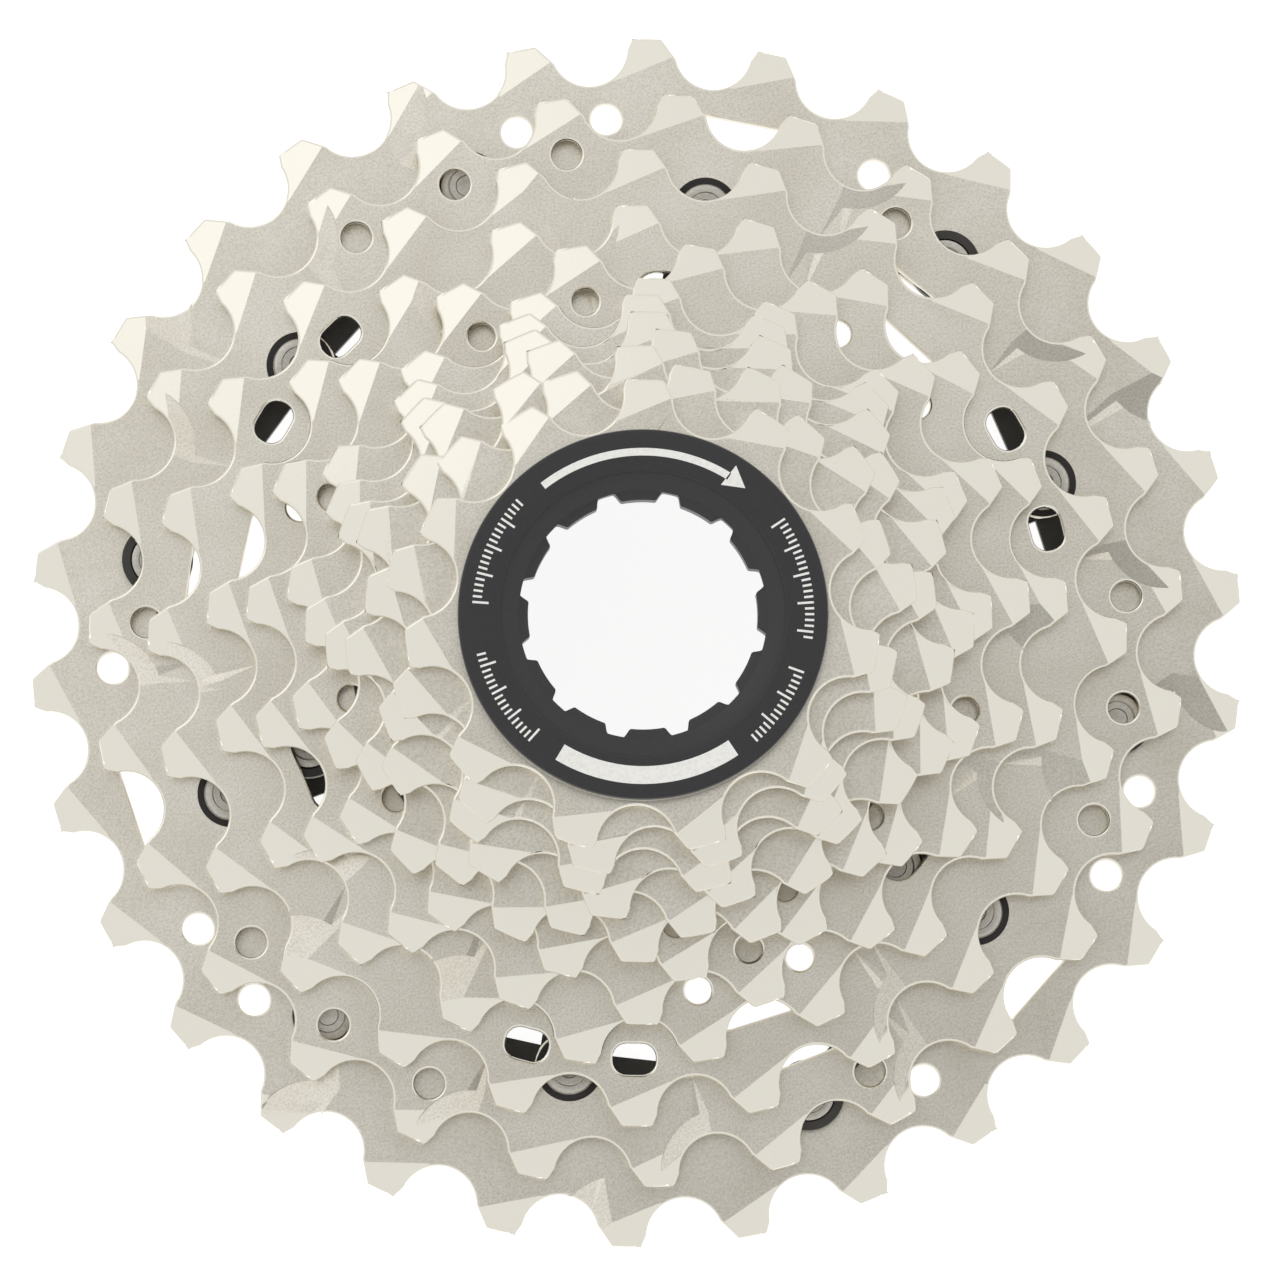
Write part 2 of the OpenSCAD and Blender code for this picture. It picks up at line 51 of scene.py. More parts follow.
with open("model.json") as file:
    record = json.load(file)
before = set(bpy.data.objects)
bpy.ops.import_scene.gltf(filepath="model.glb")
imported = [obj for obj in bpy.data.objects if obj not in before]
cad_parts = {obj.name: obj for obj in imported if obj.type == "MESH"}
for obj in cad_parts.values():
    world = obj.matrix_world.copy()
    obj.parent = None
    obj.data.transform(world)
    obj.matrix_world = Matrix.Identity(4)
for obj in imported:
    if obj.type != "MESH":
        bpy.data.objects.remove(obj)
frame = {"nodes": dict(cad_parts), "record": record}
cad_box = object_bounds()
BODY_OF = {n: b for b, names in frame["record"]["behaviour"]["bodies"].items() for n in names}

SPROCKETS = [n for n in frame["nodes"] if n.startswith("sprocket_")]
SPACERS = [n for n in frame["nodes"] if n.startswith("spacer_")]
SPIDERS = [n for n in frame["nodes"] if n.startswith(("spider_", "carrier_"))]
# node: number of rivets, turn of the first, radius of their circle, foot, seat of the head (m)
RIVET_SETS = {
    "rivets_30": (6, 39.4, 0.0494, 0.0, 0.0029),
    "rivets_27": (6, 9.0, 0.0441, 0.0016, 0.0051),
    "rivets_24": (6, 12.0, 0.0350, 0.0070, 0.0099),
    "rivets_21": (6, 42.0, 0.0300, 0.0086, 0.0121),
    "rivets_17_19": (3, 15.0, 0.0266, 0.0140, 0.0191),
}

# edges that turn by more degrees than this are sharp, and lower steps of a plate are left unrounded (m)
SHARP_EDGE = 28
LOWEST_STEP = 0.00045
# shading breaks at edges that turn by more than this: thin plates keep their facets, the rest don't need to
PLATE_SMOOTH = 12
PIECE_SMOOTH = 30
LOCKRING_SMOOTH = 40

# rivets' shank, and a thin dark ring of painted shadow round the heads on the 27-tooth ring, standing for the
# recess in shade (m)
SHANK_RADIUS = 0.0015
SHADOW_RING_BORE = 0.00272
SHADOW_RING_RIM = 0.0034
SHADOW_RING_HEIGHT = 0.00003
# lockring: bore between its tool grooves, end of the bore's chamfer, flange's rim, height of the marks (m)
SPLINE_BORE = 0.0113
SPLINE_CHAMFER = 0.0115
FLANGE_RIM = 0.01815
PRINTED_FACE = 0.043095
# tool grooves: degrees from a groove's middle, from and to, and the radius of its wall there (m)
GROOVE_STEPS = [
    (0, 3.4, 0.0123),
    (3.4, 4.2, 0.01225),
    (4.2, 4.9, 0.01202),
    (4.9, 5.6, 0.01172),
    (5.6, 6.4, 0.01142),
]
# graduations on the lockring: turn of the first and of the last line of each run
GRADUATIONS = [(56, 98), (110, 138), (222, 256), (274, 312)]


def linear(hex_code):
    """sRGB hex to linear RGBA."""
    channels = [int(hex_code[i:i + 2], 16) / 255 for i in (0, 2, 4)]
    return tuple(c / 12.92 if c <= 0.04045 else ((c + 0.055) / 1.055) ** 2.4 for c in channels) + (1.0,)


def clockwise(turn, radius, z=0.0):
    """Point at that many degrees clockwise from +Y."""
    a = math.radians(90 - turn)
    return Vector((radius * math.cos(a), radius * math.sin(a), z))


def facing(place, aim, up):
    """Turn that makes a camera or lamp at place look at aim, with up towards the top of its view."""
    back = (Vector(place) - Vector(aim)).normalized()
    right = Vector(up).cross(back).normalized()
    return Matrix((right, back.cross(right), back)).transposed().to_euler()


# ---------------------------------------------------------------- finishes

def add_node(tree, kind, inputs=(), **settings):
    """Adds a shader node, sets its properties, and fills its inputs with values or links."""
    made = tree.nodes.new(kind)
    for name, value in settings.items():
        setattr(made, name, value)
    for name, value in dict(inputs).items():
        if isinstance(value, bpy.types.NodeSocket):
            tree.links.new(value, made.inputs[name])
        else:
            made.inputs[name].default_value = value
    return made


def new_finish(name):
    """An empty material with its output node."""
    finish = bpy.data.materials.new(name)
    finish.use_nodes = True
    finish.node_tree.nodes.clear()
    return finish, finish.node_tree


def ramp(tree, factor, stops):
    """Colour ramp through (position, colour) stops."""
    made = add_node(tree, "ShaderNodeValToRGB", {"Fac": factor})
    elements = made.color_ramp.elements
    elements[0].position, elements[0].color = stops[0]
    elements[1].position, elements[1].color = stops[-1]
    for position, colour in stops[1:-1]:
        elements.new(position).color = colour
    return made.outputs["Color"]


def satin_nickel(name, face, clouded, edge, wall, clouds_mm=9.0, grain_mm=0.22):
    """Nickel-plated steel, punched and tumbled: satin faces, smoother edges in a painted highlight colour,
    and punched walls in a darker, warmer painted shade.
    """
    finish, tree = new_finish(name)
    place = add_node(tree, "ShaderNodeTexCoord")
    clouds = add_node(tree, "ShaderNodeTexNoise", {
        "Vector": place.outputs["Object"], "Scale": 1000 / clouds_mm, "Detail": 3.0})
    # the tumbled grain is finer than this and is drawn coarser so that it shows
    grain = add_node(tree, "ShaderNodeTexNoise", {"Vector": place.outputs["Object"], "Scale": 1000 / grain_mm,
                                                  "Detail": 2.0})
    tint = ramp(tree, clouds.outputs["Fac"], [(0.3, clouded), (0.65, face)])
    speck = ramp(tree, grain.outputs["Fac"], [(0.3, linear("EDEDED")), (0.6, linear("FFFFFF"))])
    speckled = add_node(tree, "ShaderNodeMix", {"Factor": 1.0}, data_type="RGBA", blend_type="MULTIPLY")
    tree.links.new(tint, speckled.inputs["A"])
    tree.links.new(speck, speckled.inputs["B"])
    # the tumbling polishes every slope, so bevels and rounded edges are smoother than the flats; they also
    # get a separate colour, picked by how far they slope, which is a painted highlight that makes them
    # brighter
    normal = add_node(tree, "ShaderNodeSeparateXYZ", {"Vector": place.outputs["Normal"]})
    level = add_node(tree, "ShaderNodeMath", {0: normal.outputs["Z"]}, operation="ABSOLUTE")
    bevel_highlight_mask = ramp(tree, level.outputs["Value"], [(0.973, (1, 1, 1, 1)), (0.988, (0, 0, 0, 1))])
    # upright faces, the punched walls, get a darker, warmer colour: painted shade
    wall_shade_mask = ramp(tree, level.outputs["Value"], [(0.15, (1, 1, 1, 1)), (0.4, (0, 0, 0, 1))])
    highlighted_bevels = add_node(tree, "ShaderNodeMix", {"Factor": bevel_highlight_mask}, data_type="RGBA")
    tree.links.new(speckled.outputs["Result"], highlighted_bevels.inputs["A"])
    highlighted_bevels.inputs["B"].default_value = edge
    wall_shaded = add_node(tree, "ShaderNodeMix", {"Factor": wall_shade_mask}, data_type="RGBA")
    tree.links.new(highlighted_bevels.outputs["Result"], wall_shaded.inputs["A"])
    wall_shaded.inputs["B"].default_value = wall
    rough = add_node(tree, "ShaderNodeMapRange", {"Value": bevel_highlight_mask, "To Min": 0.27, "To Max": 0.22})
    bump = add_node(tree, "ShaderNodeBump", {
        "Height": grain.outputs["Fac"], "Strength": 0.25, "Distance": 0.00002})
    shader = add_node(tree, "ShaderNodeBsdfPrincipled", {
        "Base Color": wall_shaded.outputs["Result"], "Metallic": 1.0, "Roughness": rough.outputs["Result"],
        "Normal": bump.outputs["Normal"]})
    add_node(tree, "ShaderNodeOutputMaterial", {"Surface": shader.outputs["BSDF"]})
    return finish


def hard_black(name, body, grain_size, roughness, strength):
    """Black anodised aluminium or black-coated steel: matt, even, with a fine blasted grain."""
    finish, tree = new_finish(name)
    place = add_node(tree, "ShaderNodeTexCoord")
    grain = add_node(tree, "ShaderNodeTexNoise", {"Vector": place.outputs["Object"], "Scale": 1 / grain_size,
                                                  "Detail": 2.0})
    tone = ramp(tree, grain.outputs["Fac"], [(0.3, tuple(c * 0.75 for c in body[:3]) + (1,)), (0.7, body)])
    bump = add_node(tree, "ShaderNodeBump", {"Height": grain.outputs["Fac"], "Strength": strength,
                                             "Distance": 0.00003})
    shader = add_node(tree, "ShaderNodeBsdfPrincipled", {
        "Base Color": tone, "Metallic": 0.0, "Roughness": roughness, "Normal": bump.outputs["Normal"]})
    add_node(tree, "ShaderNodeOutputMaterial", {"Surface": shader.outputs["BSDF"]})
    return finish


def white_ink(name, colour):
    """Screen-printed white ink: flat, with a slightly uneven film."""
    finish, tree = new_finish(name)
    place = add_node(tree, "ShaderNodeTexCoord")
    film = add_node(tree, "ShaderNodeTexNoise", {"Vector": place.outputs["Object"], "Scale": 3000.0})
    tone = ramp(tree, film.outputs["Fac"], [(0.3, tuple(c * 0.9 for c in colour[:3]) + (1,)), (0.6, colour)])
    shader = add_node(tree, "ShaderNodeBsdfPrincipled", {"Base Color": tone, "Roughness": 0.6})
    add_node(tree, "ShaderNodeOutputMaterial", {"Surface": shader.outputs["BSDF"]})
    return finish


def turned_steel(name, colour):
    """Nickelled steel that was turned or spun: brighter than coated parts, with a fine tool grain."""
    finish, tree = new_finish(name)
    place = add_node(tree, "ShaderNodeTexCoord")
    grain = add_node(tree, "ShaderNodeTexNoise", {"Vector": place.outputs["Object"], "Scale": 3500.0})
    tone = ramp(tree, grain.outputs["Fac"], [(0.3, tuple(c * 0.8 for c in colour[:3]) + (1,)), (0.7, colour)])
    bump = add_node(tree, "ShaderNodeBump", {
        "Height": grain.outputs["Fac"], "Strength": 0.3, "Distance": 0.00003})
    shader = add_node(tree, "ShaderNodeBsdfPrincipled", {
        "Base Color": tone, "Metallic": 1.0, "Roughness": 0.38, "Normal": bump.outputs["Normal"]})
    add_node(tree, "ShaderNodeOutputMaterial", {"Surface": shader.outputs["BSDF"]})
    return finish


def pale_floor(name, diffuse, glow):
    """Pale studio sweep: seen straight on it is lifted to white, and it still takes the part's shadow."""
    finish, tree = new_finish(name)
    path = add_node(tree, "ShaderNodeLightPath")
    seen = add_node(tree, "ShaderNodeMath", {
        0: path.outputs["Is Camera Ray"], 1: path.outputs["Is Glossy Ray"]}, operation="MAXIMUM")
    seen = add_node(tree, "ShaderNodeMath", {
        0: seen.outputs["Value"], 1: path.outputs["Is Transmission Ray"]}, operation="MAXIMUM")
    lift = add_node(tree, "ShaderNodeMath", {0: seen.outputs["Value"], 1: glow}, operation="MULTIPLY")
    board = add_node(tree, "ShaderNodeBsdfDiffuse", {"Color": diffuse})
    lit = add_node(tree, "ShaderNodeEmission", {"Color": (1, 1, 1, 1), "Strength": lift.outputs["Value"]})
    both = add_node(tree, "ShaderNodeAddShader")
    tree.links.new(board.outputs["BSDF"], both.inputs[0])
    tree.links.new(lit.outputs["Emission"], both.inputs[1])
    add_node(tree, "ShaderNodeOutputMaterial", {"Surface": both.outputs["Shader"]})
    return finish


# ---------------------------------------------------------------- modelling

def object_mode():
    """Leaves edit mode and deselects everything."""
    if bpy.context.object and bpy.context.object.mode != "OBJECT":
        bpy.ops.object.mode_set(mode="OBJECT")
    bpy.ops.object.select_all(action="DESELECT")


def pick(piece):
    """Makes a piece the only selected and the active one."""
    object_mode()
    piece.hide_set(False)
    piece.select_set(True)
    bpy.context.view_layer.objects.active = piece


def settle(piece, name, finish, smooth=PIECE_SMOOTH):
    """Names a finished piece, puts its place in its mesh, and gives it its finish."""
    pick(piece)
    bpy.ops.object.transform_apply(location=True, rotation=True, scale=True)
    bpy.ops.object.shade_smooth_by_angle(angle=math.radians(smooth), keep_sharp_edges=True)
    flatten_shading(piece)
    piece.name = name
    piece.data.name = name
    piece.data.materials.clear()
    piece.data.materials.append(finish)
    return piece


def crease_facets(piece, least=1.5):
    """Marks the shallow edges between the facets on the front of a piece as sharp."""
    pick(piece)
    bpy.ops.object.mode_set(mode="EDIT")
    bpy.ops.mesh.select_all(action="DESELECT")
    shape = bmesh.from_edit_mesh(piece.data)
    for edge in shape.edges:
        if len(edge.link_faces) != 2:
            continue
        flat = all(abs(face.normal.z) > 0.8 for face in edge.link_faces)
        if flat and edge.calc_face_angle(0) > math.radians(least):
            edge.smooth = False
    bmesh.update_edit_mesh(piece.data)
    bpy.ops.object.mode_set(mode="OBJECT")


def weigh_edges(piece, angle=SHARP_EDGE, least_wall=LOWEST_STEP):
    """Weighs the sharp edges of a plate, except those of steps too low to be rounded."""
    pick(piece)
    bpy.ops.object.mode_set(mode="EDIT")
    shape = bmesh.from_edit_mesh(piece.data)
    weights = shape.edges.layers.float.new("bevel_weight_edge")
    for edge in shape.edges:
        heights = [max(v.co.z for v in face.verts) - min(v.co.z for v in face.verts)
                   for face in edge.link_faces if abs(face.normal.z) < 0.3]
        sharp = len(edge.link_faces) == 2 and edge.calc_face_angle(0) > math.radians(angle)
        edge[weights] = 1.0 if sharp and min(heights, default=1) > least_wall else 0.0
    bmesh.update_edit_mesh(piece.data)
    bpy.ops.object.mode_set(mode="OBJECT")


def apply_bevel(piece, width, segments=2, angle=SHARP_EDGE, clamp=True):
    """Breaks the sharp edges of a piece. Without clamp, it breaks only the edges that were weighed."""
    pick(piece)
    made = piece.modifiers.new("broken_edges", "BEVEL")
    made.width = width
    made.segments = segments
    made.limit_method = "ANGLE" if clamp else "WEIGHT"
    made.angle_limit = math.radians(angle)
    made.use_clamp_overlap = clamp
    made.miter_outer = "MITER_ARC"
    made.loop_slide = clamp
    bpy.ops.object.modifier_apply(modifier=made.name)


def flatten_shading(piece):
    """Lets the large faces set the shading, so that flats look flat beside their rounded edges."""
    pick(piece)
    made = piece.modifiers.new("flat_faces", "WEIGHTED_NORMAL")
    made.weight = 90
    made.keep_sharp = True
    bpy.ops.object.modifier_apply(modifier=made.name)


def merged_copy(node, near=0):
    """A copy of a node, free of its body. Points closer than near are joined; without near, flats are."""
    object_mode()
    source = frame["nodes"][node]
    mesh = source.data.copy()
    piece = bpy.data.objects.new(node + "_plate", mesh)
    bpy.context.scene.collection.objects.link(piece)
    pick(piece)
    bpy.ops.object.mode_set(mode="EDIT")
    bpy.ops.mesh.select_all(action="SELECT")
    bpy.ops.mesh.customdata_custom_splitnormals_clear()
    bpy.ops.mesh.remove_doubles(threshold=2e-6)
    if near:
        bpy.ops.mesh.remove_doubles(threshold=near)
        bpy.ops.mesh.dissolve_degenerate(threshold=1e-6)
    else:
        bpy.ops.mesh.dissolve_limited(angle_limit=math.radians(0.4))
    bpy.ops.object.mode_set(mode="OBJECT")
    return piece


def broken_edges(node, finish, width, suffix, thin=False):
    """A plate, spider or spacer whose edges are rounded over, standing for its node."""
    # on a thin plate, points closer than this leave no room for the rounding between them
    piece = merged_copy(node, near=width * 0.6 if thin else 0)
    if thin:
        crease_facets(piece)
        weigh_edges(piece)
    apply_bevel(piece, width, clamp=not thin)
    settle(piece, node + suffix, finish, smooth=PLATE_SMOOTH if thin else PIECE_SMOOTH)
    stand_for(piece, node)
    return piece


def stand_for(piece, node):
    """The piece rides on its node's body and replaces the node."""
    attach(piece, BODY_OF[node])
    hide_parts(node)


def lathe(name, profile, vertices=48):
    """Turns a closed solid round Z: each (radius, z) of the profile follows from the one before."""
    object_mode()
    radius, z = profile[0]
    bpy.ops.mesh.primitive_circle_add(vertices=vertices, radius=radius, location=(0, 0, z), fill_type="NGON")
    piece = bpy.context.object
    piece.name = name
    bpy.ops.object.transform_apply(location=True, rotation=True, scale=True)
    bpy.ops.object.mode_set(mode="EDIT")
    bpy.ops.mesh.select_all(action="SELECT")
    for next_radius, next_z in profile[1:]:
        bpy.ops.mesh.extrude_region_move(TRANSFORM_OT_translate={"value": (0, 0, next_z - z)})
        share = next_radius / radius
        bpy.ops.transform.resize(value=(share, share, 1), center_override=(0, 0, 0))
        radius, z = next_radius, next_z
    bpy.ops.mesh.select_all(action="SELECT")
    bpy.ops.mesh.normals_make_consistent(inside=False)
    bpy.ops.object.mode_set(mode="OBJECT")
    return piece


def washer(name, bore, profile, vertices=96):
    """Turns a ring round Z: the profile's (radius, z) points run from the bore's foot round to its top."""
    object_mode()
    radius, z = bore, profile[0][1]
    bpy.ops.mesh.primitive_circle_add(vertices=vertices, radius=radius, location=(0, 0, z),
                                      fill_type="NOTHING")
    piece = bpy.context.object
    piece.name = name
    bpy.ops.object.transform_apply(location=True, rotation=True, scale=True)
    bpy.ops.object.mode_set(mode="EDIT")
    bpy.ops.mesh.select_all(action="SELECT")
    for next_radius, next_z in profile + [(bore, profile[-1][1])]:
        bpy.ops.mesh.extrude_edges_move(TRANSFORM_OT_translate={"value": (0, 0, next_z - z)})
        share = next_radius / radius
        bpy.ops.transform.resize(value=(share, share, 1), center_override=(0, 0, 0))
        radius, z = next_radius, next_z
    bpy.ops.mesh.extrude_edges_move(TRANSFORM_OT_translate={"value": (0, 0, profile[0][1] - z)})
    bpy.ops.mesh.select_all(action="SELECT")
    bpy.ops.mesh.remove_doubles(threshold=1e-6)
    bpy.ops.mesh.normals_make_consistent(inside=False)
    bpy.ops.object.mode_set(mode="OBJECT")
    return piece


def copies_round(piece, count, turn, radius):
    """Sets a piece at a radius and copies it round the axis, then joins the copies."""
    made = [piece]
    for i in range(count - 1):
        pick(piece)
        bpy.ops.object.duplicate()
        made.append(bpy.context.object)
    for i, one in enumerate(made):
        one.location = clockwise(turn + i * 360 / count, radius)
    return joined(made)


def joined(pieces):
    """Joins pieces into the first of them."""
    object_mode()
    for one in pieces:
        one.select_set(True)
    bpy.context.view_layer.objects.active = pieces[0]
    bpy.ops.object.join()
    return bpy.context.object


def arc_strip(turn_from, turn_to, inner, outer, z, step=0.5):
    """Flat strip along an arc, turned clockwise from +Y."""
    object_mode()
    bpy.ops.mesh.primitive_circle_add(vertices=round(360 / step), radius=inner, location=(0, 0, z),
                                      fill_type="NOTHING")
    piece = bpy.context.object
    bpy.ops.object.transform_apply(location=True, rotation=True, scale=True)
    bpy.ops.object.mode_set(mode="EDIT")
    bpy.ops.mesh.select_all(action="DESELECT")
    shape = bmesh.from_edit_mesh(piece.data)
    for point in shape.verts:
        point.select = (polar(point.co)[1] - turn_from + step / 4) % 360 > turn_to - turn_from + step / 2
    shape.select_flush_mode()
    bpy.ops.mesh.delete(type="VERT")
    bpy.ops.mesh.select_all(action="SELECT")
    bpy.ops.mesh.extrude_edges_move()
    share = outer / inner
    bpy.ops.transform.resize(value=(share, share, 1), center_override=(0, 0, 0))
    bpy.ops.mesh.select_all(action="SELECT")
    bpy.ops.mesh.normals_make_consistent(inside=False)
    bpy.ops.object.mode_set(mode="OBJECT")
    if piece.data.polygons[0].normal.z < 0:
        bpy.ops.object.mode_set(mode="EDIT")
        bpy.ops.mesh.select_all(action="SELECT")
        bpy.ops.mesh.flip_normals()
        bpy.ops.object.mode_set(mode="OBJECT")
    return piece


def select_where(piece, wanted):
    """In edit mode, selects the points of a piece that a test picks, and the edges between them."""
    bpy.ops.mesh.select_all(action="DESELECT")
    shape = bmesh.from_edit_mesh(piece.data)
    for point in shape.verts:
        point.select = wanted(point.co)
    shape.select_flush_mode()
    bmesh.update_edit_mesh(piece.data)


def polar(co):
    """Radius and turn clockwise from +Y of a point."""
    return math.hypot(co.x, co.y), (90 - math.degrees(math.atan2(co.y, co.x))) % 360


# ---------------------------------------------------------------- sizes and colours

def size(name, default, description):
    return bpy.props.FloatProperty(name=name, default=default, description=description, unit="LENGTH",
                                   precision=5)


def colour(name, hex_code, description):
    return bpy.props.FloatVectorProperty(name=name, default=linear(hex_code), size=4, subtype="COLOR",
                                         min=0, max=1, description=description)


class CassettePlates(bpy.types.PropertyGroup):
    edge_break: size("Edge break", 0.00022, "Width of the rounding on the edges of a punched plate")
    spider_break: size("Spider edge", 0.00035, "Width of the rounding on the edges of a spider")
    head_radius: size("Rivet head radius", 0.0027, "Radius of a rivet's head")
    head_height: size("Rivet head height", 0.0006, "Height of a rivet's head")
    face_colour: colour("Face", "F4F0E6", "Light part of the plates' satin faces")
    cloud_colour: colour("Clouds", "E9E4D8", "Darker part of the plates' satin faces")
    # the bevels' colour is a painted highlight: a separate colour that the plates' sloped faces get
    bevel_highlight_colour: colour("Edges", "E9E6DD", "Polished bevels and rounded edges")
    # the walls' colour is painted shade: darker and warmer than the faces
    wall_shade_colour: colour("Walls", "DCD1BC", "Punched walls between the teeth")
    spider_colour: colour("Spiders", "34312E", "Coating of the spiders")
    spacer_colour: colour("Spacers", "2C2B2A", "Moulded spacers")


class CassetteLockring(bpy.types.PropertyGroup):
    ring_colour: colour("Lockring", "2B2B2F", "Anodised lockring")
    ink_colour: colour("Marks", "F2F2F0", "Printed marks")
    groove_turn: bpy.props.FloatProperty(name="Groove turn", default=12.5,
                                         description="Clocking of the tool grooves")
    serration_depth: size("Serration depth", 0.00028, "Depth of the serrations round the flange's rear edge")
    thread_root: size("Thread root", 0.0147, "Radius at the root of the lockring's thread")
    thread_pitch: size("Thread pitch", 0.001058, "Lead of the lockring's thread")


class CassetteStage(bpy.types.PropertyGroup):
    distance: size("Camera distance", 1.163, "Height of the camera over the floor")
    key_power: bpy.props.FloatProperty(name="Key", default=0.12, description="Power of the softbox in watts")


# ---------------------------------------------------------------- operators

class CASSETTE_OT_stage(bpy.types.Operator):
    """Floor, pale tent, softbox and camera"""
    bl_idname = "cassette.stage"
    bl_label = "Stage"

    def execute(self, context):
        sizes = context.scene.cassette_stage
        object_mode()
        bpy.ops.mesh.primitive_plane_add(size=6, location=(0, 0, cad_box[0][2] - 0.0002))
        floor = bpy.context.object
        floor.name = "floor"
        floor.data.materials.append(pale_floor("studio_board", linear("C8C8C8"), 0.9))
        world = bpy.data.worlds.new("studio")
        world.use_nodes = True
        tree = world.node_tree
        tree.nodes.clear()
        place = add_node(tree, "ShaderNodeTexCoord")
        # a white tent whose opening, overhead and to the near right, is darker
        from_opening = add_node(tree, "ShaderNodeVectorMath", {
            0: place.outputs["Generated"], 1: (0.12, -0.08, 1.0)}, operation="DISTANCE")
        side = add_node(tree, "ShaderNodeMapRange", {"Value": from_opening.outputs["Value"], "From Min": 0.08,
                                                     "From Max": 0.24, "To Min": 0.0, "To Max": 1.0})
        sky = add_node(tree, "ShaderNodeBackground", {
            "Color": linear("F6F5F2"), "Strength": side.outputs["Result"]})
        add_node(tree, "ShaderNodeOutputWorld", {"Surface": sky.outputs["Background"]})
        context.scene.world = world
        lamp = bpy.data.lights.new("softbox_key", "AREA")
        lamp.shape = "DISK"
        lamp.size = 0.40
        lamp.energy = sizes.key_power
        softbox = bpy.data.objects.new("softbox_key", lamp)
        softbox.location = (-0.30, 0.26, 0.42)
        softbox.rotation_euler = facing(softbox.location, (0, 0.02, 0.02), (0, 1, 0))
        context.scene.collection.objects.link(softbox)
        lens = bpy.data.cameras.new("camera")
        lens.sensor_width = 36
        lens.lens = 321.7 * sizes.distance / 1.163
        lens.clip_end = 20
        camera = bpy.data.objects.new("camera", lens)
        aim = Vector((0.00034, 0.00111, 0))
        camera.location = aim + Vector((-0.0150, -0.0635, 1)) * sizes.distance
        camera.rotation_euler = facing(camera.location, aim, (0, 1, 0))
        context.scene.collection.objects.link(camera)
        context.scene.camera = camera
        return {"FINISHED"}


class CASSETTE_OT_sprockets(bpy.types.Operator):
    """Twelve punched sprocket plates with broken edges"""
    bl_idname = "cassette.sprockets"
    bl_label = "Sprockets"

    def execute(self, context):
        sizes = context.scene.cassette_plates
        satin = satin_nickel("satin_nickel", sizes.face_colour, sizes.cloud_colour, sizes.bevel_highlight_colour,
                             sizes.wall_shade_colour)
        for node in SPROCKETS:
            broken_edges(node, satin, sizes.edge_break, "_plate", thin=True)
        return {"FINISHED"}


class CASSETTE_OT_spiders(bpy.types.Operator):
    """Spiders and the carrier of the small cluster"""
    bl_idname = "cassette.spiders"
    bl_label = "Spiders"

    def execute(self, context):
        sizes = context.scene.cassette_plates
        coated = hard_black("coated_spider", sizes.spider_colour, 0.0003, 0.45, 0.3)
        for node in SPIDERS:
            broken_edges(node, coated, sizes.spider_break, "_forged")
        return {"FINISHED"}


class CASSETTE_OT_spacers(bpy.types.Operator):
    """Spacers between the loose sprockets"""
    bl_idname = "cassette.spacers"
    bl_label = "Spacers"

    def execute(self, context):
        sizes = context.scene.cassette_plates
        moulded = hard_black("moulded_spacer", sizes.spacer_colour, 0.0004, 0.5, 0.3)
        for node in SPACERS:
            broken_edges(node, moulded, sizes.edge_break * 1.5, "_moulded")
        return {"FINISHED"}


class CASSETTE_OT_rivets(bpy.types.Operator):
    """Rivets that hold the rings to their spiders"""
    bl_idname = "cassette.rivets"
    bl_label = "Rivets"

    def execute(self, context):
        sizes = context.scene.cassette_plates
        steel = turned_steel("turned_rivet", linear("C9C6BF"))
        # near-black finish for the painted shadow in the recess round the 27-tooth rivet heads
        painted_recess_shade = hard_black("rivet_seat", linear("17120F"), 0.0003, 0.5, 0.2)
        for node, (count, turn, radius, foot, seat) in RIVET_SETS.items():
            shank, head, top = SHANK_RADIUS, sizes.head_radius, seat + sizes.head_height
            profile = [(shank - 0.0002, foot), (shank, foot + 0.0002), (shank, seat), (head, seat)]
            if node == "rivets_17_19":
                profile = [(head - 0.0003, foot - 0.0006), (head, foot - 0.0003), (head, foot), (shank, foot),
                           (shank, seat), (head, seat)]
            profile += [(head, top - 0.0003), (head - 0.00012, top - 0.0001), (head - 0.0004, top),
                        (0.0019, top), (0.0018, top - 0.00007), (0.0017, top), (0.0011, top),
                        (0.001, top - 0.00015), (0.0003, top - 0.0002)]
            piece = copies_round(lathe(node, profile), count, turn, radius)
            settle(piece, node + "_headed", steel)
            stand_for(piece, node)
        # painted shadow: a thin dark sheet round the heads on the 27-tooth sprocket, where the shaded recess
        # round each head shows as a dark ring
        count, turn, radius, _, seat = RIVET_SETS["rivets_27"]
        top = seat + SHADOW_RING_HEIGHT
        profile = [(SHADOW_RING_RIM, seat), (SHADOW_RING_RIM, top), (SHADOW_RING_BORE, top)]
        shadow_ring = washer("rivet_collars_27", SHADOW_RING_BORE, profile)
        piece = copies_round(shadow_ring, count, turn, radius)
        settle(piece, "rivet_collars_27", painted_recess_shade)
        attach(piece, BODY_OF["rivets_27"])
        return {"FINISHED"}


